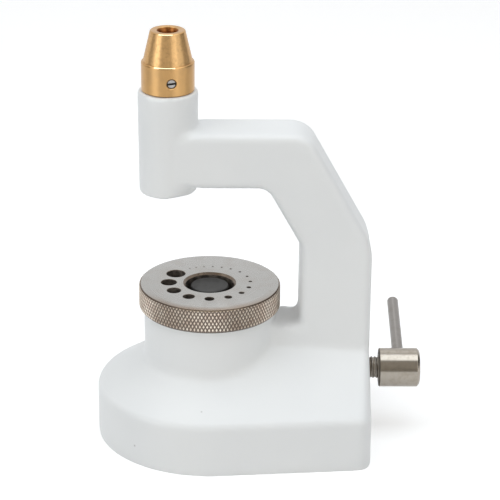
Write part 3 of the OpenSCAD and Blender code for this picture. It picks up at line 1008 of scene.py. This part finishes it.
@dataclass
class PunchGuide:
    """The brass bush with its collar and tapered nose, and its friction screw.

    An edge has how far it lies in from its side and from its end. The points of the mouth's lip have how far they
    lie out from the mouth and down from the top. The slot's faces are so far above the screw's foot, below its end
    and to each side of its middle.
    """

    at: float = -14.4
    low: float = 90.9
    head_top: float = 127.4
    bore: float = 3.0
    stem: float = 7.0
    chamfer: float = 0.5
    collar: float = 9.13
    collar_height: float = 10.5
    collar_edge: Point = (0.45, 0.4)
    nose_height: float = 10.7
    nose_foot: float = 8.48
    nose_step: Point = (0.02, 0.1)
    round_size: float = 0.6
    round_steps: int = 6
    round_support: float = 0.2
    nose_top: float = 6.15
    nose_slope: float = 10.0
    mouth_width: float = 0.7
    mouth_depth: float = 1.5
    mouth_lip: tuple[Point, ...] = ((0.25, 0.0), (0.08, 0.05), (-0.04, 0.18))
    drill_depth: Point = (1.5, 12.0)
    drill_mouth: float = 0.3
    screw: float = 1.6
    screw_play: float = 0.08
    screw_drop: float = 0.45
    screw_sink: float = 0.35
    screw_length: float = 3.4
    screw_foot: float = 0.2
    screw_edge: float = 0.25
    screw_turn: float = 9.5
    slot_block: Place = (6.0, 0.68, 1.9)
    slot_turn: float = 5.0
    slot_round: float = 0.12
    slot_faces: tuple[float, float, float] = (1.0, 0.05, 0.6)
    highlight_from: float = 5.0
    highlight_clear: float = 0.3
    highlight_rise: Point = (0.3, 0.985)
    highlight_side: Point = (-0.5, 0.3)
    lit_nose: Point = (0.05, 0.65)
    lit_nose_reach: float = 1.0
    bore_below: float = 0.2

    @property
    def shoulder(self) -> float:
        """Height of the collar's upper face."""
        return self.head_top + self.collar_height

    @property
    def top(self) -> float:
        """Height of the nose's upper face."""
        return self.shoulder + self.nose_height

    def bush(self) -> Piece:
        """Turns the bush and drills it for the friction screw.

        Returns:
            The bush.
        """
        r, edge, wide, base, top = self.bore, self.chamfer, self.collar, self.head_top, self.top
        turn, mouth = self.round_size, self.bore + self.mouth_width
        profile = [
            (r, self.low + edge), (r + edge, self.low), (self.stem - edge, self.low), (self.stem, self.low + edge),
            (self.stem, base), (wide - self.collar_edge[0], base), (wide, base + self.collar_edge[1]),
            (wide, self.shoulder - turn - self.round_support),
            *arc((wide - turn, self.shoulder - turn), turn, 0, 90, self.round_steps),
            (self.nose_foot, self.shoulder),
            (self.nose_foot - self.nose_step[0], self.shoulder + self.nose_step[1]),
            *arc((self.nose_top - turn, top - turn), turn, self.nose_slope, 90, self.round_steps),
            *((mouth + out, top - down) for out, down in self.mouth_lip),
            (r, top - self.mouth_depth), (r, self.low + edge),
        ]
        bush = Bench.lathe("brass_guide", profile, WIDE_STEPS, (self.at, 0.0))
        inner, outer = self.drill_depth
        hole, sunk = self.screw + self.screw_play, self.screw + self.drill_mouth
        Bench.bore(bush, [(hole, inner), (hole, wide - self.drill_mouth), (sunk, wide), (sunk, outer)], DRILL_STEPS,
                   lay=self.face_front)
        return bush

    def face_front(self, piece: Piece) -> None:
        """Lays a piece that stands on Z along the friction screw's axis."""
        height = self.head_top + self.collar_height / 2 - self.screw_drop
        Bench.lay(piece, [(90.0, Axis.X), (self.screw_turn, Axis.Z)], (self.at, 0.0, height))

    def friction_screw(self) -> Piece:
        """Turns the friction screw, saws its slot and dresses it.

        Returns:
            The screw.
        """
        outer = self.collar - self.screw_sink
        inner = outer - self.screw_length
        r, foot, edge = self.screw, self.screw_foot, self.screw_edge
        screw = Bench.lathe("friction_screw_slotted", [
            (r - foot, inner), (r, inner + foot), (r, outer - edge), (r - edge, outer),
        ], DRILL_STEPS)
        Bench.clear()
        bpy.ops.mesh.primitive_cube_add(size=1.0, location=(0.0, 0.0, outer), scale=self.slot_block)
        saw = Bench.named("saw")
        with Bench.editing(saw, Pick.EDGES):
            Bench.round_edges(
                saw, lambda e: all(v.co.z < outer for v in e.verts) and Bench.lengthways(e), self.slot_round, 2
            )
        Bench.lay(saw, [(self.slot_turn, Axis.Z)])
        Bench.join(screw, saw, Join.CUT)
        steel = TurnedMetal("bright_screw", (0.40, 0.39, 0.38), (0.10, 0.09, 0.085), 0.28, Axis.Y, stain_share=0.7)
        # painted shade in the screw's slot
        slot = ShadedBore("slot_painted_shade", (0.055, 0.05, 0.045), (0.16, 0.14, 0.12))
        deep, under, wide = self.slot_faces
        Bench.coat(screw, [steel.material(), slot.material()], lambda centre, _: int(
            inner + deep < centre.z < outer - under and abs(centre.y) < wide and centre.xy.length < r - under))
        self.face_front(screw)
        return screw

    def finish_at(self, centre: Vector, normal: Vector) -> int:
        """Says whether a face of the bush is brass, its bore, its nose in brass painted lighter or a front edge
        with a painted highlight.

        Args:
            centre: The face's centre.
            normal: Its direction.

        Returns:
            The number of its finish.
        """
        reach = (centre.xy - Vector((self.at, 0.0))).length
        mouth = self.bore + self.mouth_width
        (flat, steep), (left, right), (foot, end) = self.highlight_rise, self.highlight_side, self.lit_nose
        # painted highlight on the up-facing front edges
        if (flat < normal.z < steep and centre.z > self.head_top + self.highlight_from
                and reach > mouth + self.highlight_clear and left < normal.x / normal.xy.length < right
                and normal.y < 0.0):
            return 3
        # painted light: the nose takes a lighter copy of the brass
        if self.shoulder + foot < centre.z < self.top - end and reach > self.nose_top - self.lit_nose_reach:
            return 2
        return int(centre.z < self.top - self.bore_below and reach < mouth)

    def build(self, shop: Workshop) -> None:
        """Models and dresses the bush, screw and plug.

        Args:
            shop: Dresses the finished pieces.
        """
        centre = (self.at, 0.0, 0.0)
        finishes = (
            TurnedMetal("satin_brass", (0.565, 0.335, 0.138), (0.40, 0.26, 0.13), centre=centre, stain_share=0.3,
                        brushed=0.75),
            TurnedMetal("shaded_brass_bore", (0.32, 0.12, 0.032), (0.15, 0.055, 0.02), centre=centre,
                        stain_share=0.5),
            # painted light: the nose's copy of the brass is lighter than the collar's
            TurnedMetal("nose_brass_painted_lighter", (0.68, 0.42, 0.185), (0.30, 0.17, 0.07), 0.38, centre=centre,
                        stain_share=0.3, stain_scale=900.0, brushed=0.9),
            # painted highlight: front-facing upper edges take a lighter brass, with low roughness for their polish
            TurnedMetal("brass_edge_painted_highlight", (0.93, 0.72, 0.44), (0.70, 0.47, 0.24), 0.2, centre=centre,
                        stain_share=0.3),
        )
        bush = self.bush()
        Bench.coat(bush, [finish.material() for finish in finishes], self.finish_at)
        shop.hand_over(bush, Body.FRAME, ["guide_bush"])
        shop.hand_over(self.friction_screw(), Body.FRAME, ["friction_screw"])
        shop.dress("friction_plug", bush.data.materials[0])


@dataclass
class DieTable:
    """The knurled die plate with its graduated holes, and the spindle it turns on.

    Each hole has its angle round the plate, in degrees, and its diameter; its broken edge has a fixed part and a
    part of the diameter. The upper edge has the share of the bevel by which each of its points lies in from the
    rim and down from the top, and the spindle's head has the same in millimetres.
    """

    radius: float = 25.0
    low: float = 47.2
    thickness: float = 8.8
    bevel: float = 0.7
    upper_edge: tuple[Point, ...] = ((0.0, 1.0), (0.22, 0.42), (0.55, 0.12), (1.0, 0.0))
    foot: float = 1.0
    teeth: int = 120
    rows: int = 7
    rows_from: float = 0.12
    rows_to: float = 0.55
    crest: float = 24.97
    core: float = 0.6
    knurl_depth: float = 0.4
    envelope_steps: int = 296
    circle: float = 14.4
    holes: tuple[Point, ...] = (
        (147, 6.7), (180, 5.6), (210, 5.0), (240, 4.2), (270, 3.4), (297, 2.7), (321, 2.0), (343, 1.6), (4, 1.2),
        (23, 1.0), (42, 0.9), (59, 0.8), (73, 0.7), (86, 0.6), (98.5, 0.55), (110, 0.5), (120, 0.45),
    )
    fine_hole: float = 3.0
    fine_land: float = 3.0
    fine_relief: float = 0.55
    hole_edge: Point = (0.03, 0.012)
    past: float = 1.0
    recess: float = 8.6
    recess_depth: float = 5.1
    recess_bevel: float = 0.75
    web_bore: float = 4.99
    head: float = 6.75
    stem: float = 4.95
    stem_foot: float = 13.7
    groove_at: float = 23.3
    groove_depth: float = 1.8
    stem_edge: float = 0.4
    head_foot: float = 0.15
    head_edge: tuple[Point, ...] = ((0.0, 0.35), (0.3, 0.02), (0.75, 0.0))
    dish: Point = (5.2, 0.06)
    washer: float = 0.8
    sink: float = 0.9
    edge_rise: float = 0.35
    bevel_rise: float = 0.4
    face_rise: float = 0.9

    @property
    def top(self) -> float:
        """Height of the plate's upper face."""
        return self.low + self.thickness

    def blank(self) -> Piece:
        """Turns the plate's blank, rolls the knurl into its rim and bevels it.

        Returns:
            The knurled blank, without its die holes.
        """
        top, core = self.top, self.crest - self.core
        low, high = self.low + self.rows_from, top - self.bevel * self.rows_to
        step = (high - low) / self.rows
        floor = top - self.recess_depth
        plate = Bench.lathe("knurled_plate", [
            (self.web_bore, self.low), (core, self.low), (core, low),
            *((self.crest, low + row * step) for row in range(self.rows + 1)), (core, high), (core, top),
            (self.recess + self.recess_bevel, top), (self.recess, top - self.recess_bevel),
            (self.recess, floor), (self.web_bore, floor), (self.web_bore, self.low),
        ], 2 * self.teeth)
        pitch = math.tau / (2 * self.teeth)
        share = (self.crest - self.knurl_depth) / self.crest
        with Bench.editing(plate):
            for parity in (0, 1):
                def in_groove(vert: bmesh.types.BMVert) -> bool:
                    """Whether a vert of the rim lies where two grooves cross."""
                    column = round(math.atan2(vert.co.y, vert.co.x) / pitch)
                    row = round((vert.co.z - low) / step)
                    on_rim = vert.co.xy.length >= self.crest - 0.1
                    return on_rim and row % 2 == parity and (column + row) % 2 == 0

                Bench.select(plate, Pick.VERTS, in_groove)
                bpy.ops.transform.resize(value=(share, share, 1.0), center_override=ORIGIN)
            Bench.select(plate, Pick.FACES, lambda f: f.calc_center_median().xy.length > self.crest - 0.45
                         and low < f.calc_center_median().z < high)
            bpy.ops.mesh.quads_convert_to_tris(quad_method="SHORTEST_DIAGONAL")
        Bench.join(plate, Bench.lathe("envelope", [
            (self.crest - self.foot, self.low - self.past), (self.crest - self.foot, self.low),
            (self.radius, self.low + self.foot),
            *((self.radius - share_in * self.bevel, top - down * self.bevel) for share_in, down in self.upper_edge),
            (self.radius - self.bevel, top + self.past),
        ], self.envelope_steps), Join.KEEP_COMMON)
        return plate

    def drill(self, plate: Piece) -> None:
        """Drills the die holes, each with a broken edge. The fine ones open out below their land.

        Args:
            plate: The blank.
        """
        drills = []
        top, low, past = self.top, self.low, self.past
        for angle, diameter in self.holes:
            r, turn = diameter / 2, math.radians(angle)
            edge = self.hole_edge[0] + self.hole_edge[1] * diameter
            fine = diameter < self.fine_hole
            below = r + self.fine_relief if fine else r
            neck = top - self.fine_land if fine else low
            drills.append(Bench.lathe("drill", [
                (below, low - past), (below, neck - 0.05), (r, neck), (r, top - edge), (r + edge, top),
                (r + edge, top + past),
            ], DRILL_STEPS, (self.circle * math.cos(turn), self.circle * math.sin(turn))))
        Bench.join(plate, Bench.gather(drills, "drills"), Join.CUT)

    def finish_at(self, centre: Vector, normal: Vector) -> int:
        """Says whether a face of the plate is turned, knurled, a browned edge with a painted highlight at its
        front, or a bore in painted shade.

        Args:
            centre: The face's centre.
            normal: Its direction.

        Returns:
            The number of its finish.
        """
        reach = centre.xy.length
        if reach > self.radius - self.bevel - 0.02 and centre.z < self.top - 0.001:
            return 2 if normal.z > self.edge_rise and centre.z > self.top - self.bevel - 0.01 else 1
        if normal.z > self.face_rise and centre.z > self.top - 0.05:
            return 0
        return 2 if reach > self.recess and normal.z > self.bevel_rise else 3

    def spindle(self) -> Piece:
        """Turns the spindle with its head, stem and locking groove.

        Returns:
            The spindle.
        """
        stem, head, foot, groove, edge = self.stem, self.head, self.stem_foot, self.groove_at, self.stem_edge
        seat = self.top - self.recess_depth + self.washer
        top = self.top - self.sink
        return Bench.lathe("dark_spindle", [
            (stem - edge, foot), (stem, foot + edge), (stem, groove - self.groove_depth),
            (stem - self.groove_depth, groove), (stem, groove + self.groove_depth), (stem, seat),
            (head - self.head_foot, seat), (head, seat + self.head_foot),
            *((head - inset, top - down) for inset, down in self.head_edge), (self.dish[0], top - self.dish[1]),
        ])

    def build(self, shop: Workshop) -> None:
        """Models and dresses the plate, spindle and washer.

        Args:
            shop: Dresses the finished pieces.
        """
        # painted shade on the front of the face's rim, from 20.8 mm out
        face = TurnedMetal("turned_plate", (0.412, 0.41, 0.398), (0.27, 0.21, 0.165), 0.26, ring_pitch=0.35,
                           stain_share=0.16, shaded_rim_from=20.8)
        dark = TurnedMetal("dark_spindle_steel", (0.031, 0.031, 0.03), (0.02, 0.018, 0.017), 0.38,
                           ring_depth=0.005, stain_share=0.5)
        plate = self.blank()
        self.drill(plate)
        # the plate's holes and recess take painted shade
        finishes = (face, KnurledSteel(), BrownedEdge(), ShadedBore())
        Bench.coat(plate, [finish.material() for finish in finishes], self.finish_at)
        shop.hand_over(plate, Body.PLATE, ["die_plate"], 24.0)
        spindle = self.spindle()
        Bench.coat(spindle, [dark.material()])
        shop.hand_over(spindle, Body.FRAME, ["die_spindle"])
        shop.dress("spindle_washer", spindle.data.materials[0])


@dataclass
class Clamp:
    """The clamp screw with its knob and lever, and the plunger in front of it.

    The points of the thread's tooth have how far they lie below its crest and their share of the pitch. Those of
    the knob's rounds have how far they lie in from its side and from its end.
    """

    height: float = 23.2
    rear: float = 56.55
    gap: float = 4.05
    screw: float = 3.92
    pitch: float = 1.25
    tooth: tuple[Point, ...] = (
        (0.42, 0.0), (0.42, 0.1), (0.03, 0.46), (0.0, 0.5), (0.0, 0.58), (0.03, 0.62), (0.42, 1.0),
    )
    thread_steps: int = 40
    screw_start: float = 33.05
    shaded_thread_length: float = 1.25
    knob: float = 6.95
    knob_length: float = 14.55
    knob_front: tuple[Point, ...] = ((0.45, 0.0), (0.12, 0.12), (0.0, 0.3), (0.0, 0.5))
    knob_rear: tuple[Point, ...] = (
        (0.0, 1.1), (0.0, 0.95), (0.08, 0.8), (0.85, 0.12), (1.05, 0.02), (1.3, 0.0),
    )
    shaded_knob_length: float = 0.25
    knob_play: float = 0.02
    knob_mouth: float = 0.6
    lever_in: float = 7.4
    hold: float = 11.0
    floor_gap: float = 0.5
    lever: float = 2.02
    lever_play: float = 0.03
    lever_mouth: Point = (0.8, 0.27)
    lever_edge: float = 0.3
    lever_reach: float = 40.3
    lever_lean: float = 77.0
    tip_round: float = 0.8
    tip_steps: int = 6

    @property
    def knob_start(self) -> float:
        """X of the knob's inner face."""
        return self.rear + self.gap

    @property
    def lever_foot(self) -> Place:
        """Where the lever's axis crosses the clamp's."""
        return (self.knob_start + self.lever_in, 0.0, self.height)

    def lay(self, piece: Piece) -> None:
        """Lays a piece that stands on Z along the clamp's axis."""
        Bench.lay(piece, [(90.0, Axis.Y)], (0.0, 0.0, self.height))

    def aim(self, piece: Piece) -> None:
        """Leans a piece that stands on Z along the lever's axis."""
        Bench.lay(piece, [(-self.lever_lean, Axis.X)], self.lever_foot)

    def thread(self) -> Piece:
        """Sweeps a thread along a helix and trims both its ends.

        Returns:
            The clamp screw.
        """
        p = self.pitch
        start, end = self.screw_start - 2 * p, self.knob_start + self.hold
        tooth = [(self.screw - down, 0.0, start + p * share) for down, share in self.tooth]
        screw = Bench.line("threaded_screw", tooth)
        Bench.modify(
            screw, "SCREW", axis="Z", angle=math.tau, screw_offset=p, iterations=math.ceil((end - start) / p) + 2,
            steps=self.thread_steps, render_steps=self.thread_steps, use_merge_vertices=False,
        )
        with Bench.editing(screw):
            bpy.ops.mesh.remove_doubles(threshold=0.001)
            for height, inner in ((self.screw_start, True), (end, False)):
                bpy.ops.mesh.select_all(action="SELECT")
                bpy.ops.mesh.bisect(
                    plane_co=(0.0, 0.0, height), plane_no=UP, use_fill=True,
                    clear_inner=inner, clear_outer=not inner,
                )
            Bench.close()
        self.lay(screw)
        return screw

    def handle(self) -> Piece:
        """Turns the knob, with a slightly domed end, and drills it for the lever.

        Returns:
            The knob.
        """
        start, end, r = self.knob_start, self.knob_start + self.knob_length, self.knob
        bore, floor, wide = self.screw + self.knob_play, start + self.hold + self.floor_gap, self.knob_mouth
        knob = Bench.lathe("turned_knob", [
            (bore, floor), (bore, start + wide), (bore + wide, start),
            *((r - inset, start + back) for inset, back in self.knob_front),
            *((r - inset, end - back) for inset, back in self.knob_rear),
        ])
        self.lay(knob)
        hole, mouth = self.lever + self.lever_play, self.lever + self.lever_mouth[0]
        Bench.bore(knob, [(hole, 0.5), (hole, r - 0.5), (mouth, r + self.lever_mouth[1]), (mouth, r + 3)],
                   DRILL_STEPS, lay=self.aim)
        return knob

    def rod(self) -> Piece:
        """Turns the lever rod with its rounded tip.

        Returns:
            The rod.
        """
        r, reach, edge, tip = self.lever, self.lever_reach, self.lever_edge, self.tip_round
        start = self.screw + edge
        rod = Bench.lathe("lever_pin", [
            (r - edge, start), (r, start + edge), (r, reach - tip - edge),
            *arc((r - tip, reach - tip), tip, 0, 90, self.tip_steps),
        ], BORE_STEPS)
        self.aim(rod)
        return rod

    def build(self, shop: Workshop) -> None:
        """Models and dresses the screw, knob, lever and plunger.

        Args:
            shop: Dresses the finished pieces.
        """
        axis = (0.0, 0.0, self.height)
        thread = TurnedMetal("threaded_steel", (0.46, 0.42, 0.37), (0.12, 0.10, 0.08), 0.34, Axis.X, axis,
                             ring_depth=0.003, stain_share=0.7).material()
        # a darker copy of the steel, as painted shade
        shade_steel = TurnedMetal("steel_painted_shade", (0.20, 0.17, 0.14), (0.05, 0.04, 0.03), 0.42, Axis.X, axis,
                            stain_share=0.9).material()
        satin = TurnedMetal("satin_knob", (0.36, 0.328, 0.285), (0.24, 0.205, 0.16), 0.2, Axis.X, axis,
                            ring_depth=0.0015, stain_share=0.34, stain_scale=520.0).material()
        pin = TurnedMetal("satin_lever", (0.285, 0.272, 0.26), (0.20, 0.18, 0.16), 0.3, Axis.Y, self.lever_foot,
                          ring_depth=0.003).material()
        screw, knob, rod = self.thread(), self.handle(), self.rod()
        # painted shade on the thread where it enters the column and on the knob's face towards the column
        Bench.coat(screw, [thread, shade_steel], lambda centre, _: int(centre.x < self.rear + self.shaded_thread_length))
        Bench.coat(knob, [satin, shade_steel], lambda centre, _: int(centre.x < self.knob_start + self.shaded_knob_length))
        Bench.coat(rod, [pin])
        shop.hand_over(screw, Body.CLAMP, ["clamp_screw"])
        shop.hand_over(knob, Body.CLAMP, ["clamp_knob"])
        shop.hand_over(rod, Body.CLAMP, ["lever_rod"])
        shop.dress("clamp_plunger", thread)


@dataclass
class Studio:
    """The floor, the lamps, the white surroundings and the camera, in metres."""

    camera_at: Place = (0.00405, -0.7293, 0.3692)
    pitch: float = 22.41
    yaw: float = 0.79
    roll: float = 0.56
    lens: float = 161.9
    sensor: float = 36.0
    clip: Point = (0.01, 20.0)
    sky: float = 0.435
    floor_size: float = 6.0
    floor_albedo: float = 0.8
    floor_glow: float = 0.42
    middle: Place = (0.01, 0.0, 0.08)

    def camera(self) -> None:
        """Sets the camera at the photograph's viewing angle."""
        pitch, yaw, roll = (math.radians(a) for a in (self.pitch, self.yaw, self.roll))
        forward = Vector((math.sin(yaw) * math.cos(pitch), math.cos(yaw) * math.cos(pitch), -math.sin(pitch)))
        right = Vector((math.cos(yaw), -math.sin(yaw), 0.0))
        up = right.cross(forward)
        right_rolled = right * math.cos(roll) + up * math.sin(roll)
        up_rolled = up * math.cos(roll) - right * math.sin(roll)
        data = bpy.data.cameras.new("photo_camera")
        data.lens, data.sensor_width = self.lens, self.sensor
        data.clip_start, data.clip_end = self.clip
        camera = bpy.data.objects.new("photo_camera", data)
        rows = (*zip(right_rolled, up_rolled, -forward, self.camera_at), (0.0, 0.0, 0.0, 1.0))
        camera.matrix_world = Matrix(rows)
        bpy.context.scene.collection.objects.link(camera)
        bpy.context.scene.camera = camera

    @staticmethod
    def shows_backdrop(tree: bpy.types.NodeTree) -> Signal:
        """One where the camera, a metal or a glass sees the surroundings, and zero for their light.

        Args:
            tree: The node tree that needs it.

        Returns:
            The value.
        """
        path = tree.nodes.new("ShaderNodeLightPath")
        camera, glossy, through = (
            Signal(tree, path.outputs[name]) for name in ("Is Camera Ray", "Is Glossy Ray", "Is Transmission Ray")
        )
        return camera.or_more(glossy).or_more(through)

    def surroundings(self) -> None:
        """Lights the scene softly from all round and keeps the background white."""
        world = bpy.data.worlds.new("white_room")
        bpy.context.scene.world = world
        world.use_nodes = True
        tree = world.node_tree
        tree.nodes.clear()
        soft = tree.nodes.new("ShaderNodeBackground")
        soft.inputs["Color"].default_value = (*WHITE, 1.0)
        strength = self.shows_backdrop(tree).or_more(self.sky)
        tree.links.new(strength.socket, soft.inputs["Strength"])
        output = tree.nodes.new("ShaderNodeOutputWorld")
        tree.links.new(soft.outputs["Background"], output.inputs["Surface"])

    def floor(self) -> None:
        """Lays a pale floor that is white to the camera but keeps the tool's shadow."""
        Bench.clear()
        bpy.ops.mesh.primitive_plane_add(size=self.floor_size, location=ORIGIN)
        floor = Bench.named("floor")
        mix = Mixer("pale_floor")
        tone = self.floor_albedo
        mix.finish(Base_Color=(tone, tone, tone, 1.0), Roughness=0.9, Specular_IOR_Level=0.1,
                   Emission_Color=(*WHITE, 1.0), Emission_Strength=self.shows_backdrop(mix.tree) * self.floor_glow)
        floor.data.materials.append(mix.material)

    def board(self, name: str, foot: tuple[Point, Point], rise: float, lean: float, colour: Place) -> None:
        """Stands up a dark board that only the metal sees, as a flag is used in a studio.

        Args:
            name: Its name.
            foot: X and Y of its two lower corners, which stand on the floor.
            rise: How high its upper edge is.
            lean: How far its upper edge leans in, along Y.
            colour: Its colour.
        """
        Bench.clear()
        bpy.ops.mesh.primitive_plane_add(size=1.0)
        board = Bench.named(name)
        for vert in board.data.vertices:
            x, y = foot[vert.co.x > 0]
            vert.co = (x, y + lean, rise) if vert.co.y > 0 else (x, y, 0.0)
        mix = Mixer(name)
        shades = (tuple(share * part for part in colour) for share in (0.9, 1.1))
        board.data.materials.append(mix.finish(
            Base_Color=mix.blend(mix.noise(mix.place(), 40.0), *shades), Roughness=0.95, Specular_IOR_Level=0.1))
        board.visible_camera = False

    def lamp(
        self, name: str, place: Place, target: Place, size: Point, power: float, colour: Place = WHITE
    ) -> None:
        """Hangs one soft box.

        Args:
            name: Its name.
            place: Where it hangs.
            target: What it faces.
            size: Its width and height.
            power: Its power in watts.
            colour: Its colour.
        """
        data = bpy.data.lights.new(name, "AREA")
        data.shape = "RECTANGLE"
        data.size, data.size_y = size
        data.energy = power
        data.color = colour
        lamp = bpy.data.objects.new(name, data)
        way = Vector(target) - Vector(place)
        lamp.rotation_euler = way.to_track_quat("-Z", "Y").to_euler()
        lamp.location = place
        bpy.context.scene.collection.objects.link(lamp)

    def build(self) -> None:
        """Sets up the whole studio."""
        self.camera()
        self.surroundings()
        self.floor()
        tall = (0.42, 0.8)
        self.lamp("overhead_box", (0.0, -0.07, 0.9), (0.0, -0.07, 0.0), (1.5, 0.62), 5.25, (0.89, 0.95, 1.0))
        self.lamp("left_box", (-0.67, -0.52, 0.34), self.middle, tall, 1.83, (0.92, 0.965, 1.0))
        self.lamp("right_box", (0.49, -0.68, 0.34), self.middle, tall, 1.22)
        self.lamp("rear_box", (0.045, 0.56, 0.66), self.middle, (0.24, 0.34), 0.11)
        self.board("front_board", ((-0.95, -1.15), (0.75, -1.15)), 1.0, 0.7, (0.66, 0.60, 0.52))
        self.board("left_board", ((-0.88, -0.18), (-0.88, 0.2)), 0.5, 0.0, (0.14, 0.12, 0.10))
        self.board("right_board", ((0.88, -0.12), (0.88, 0.62)), 0.5, 0.0, (0.06, 0.05, 0.04))
        bpy.context.scene.view_settings.view_transform = "Standard"


def main() -> None:
    """Loads the frame and builds every sub-assembly and the studio in order."""
    logging.basicConfig(level=logging.INFO, format="%(name)s: %(message)s")
    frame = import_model()
    shop = Workshop(frame["nodes"])
    Casting().build(shop)
    PunchGuide().build(shop)
    DieTable().build(shop)
    Clamp().build(shop)
    Studio().build()


if __name__ == "__main__":
    main()
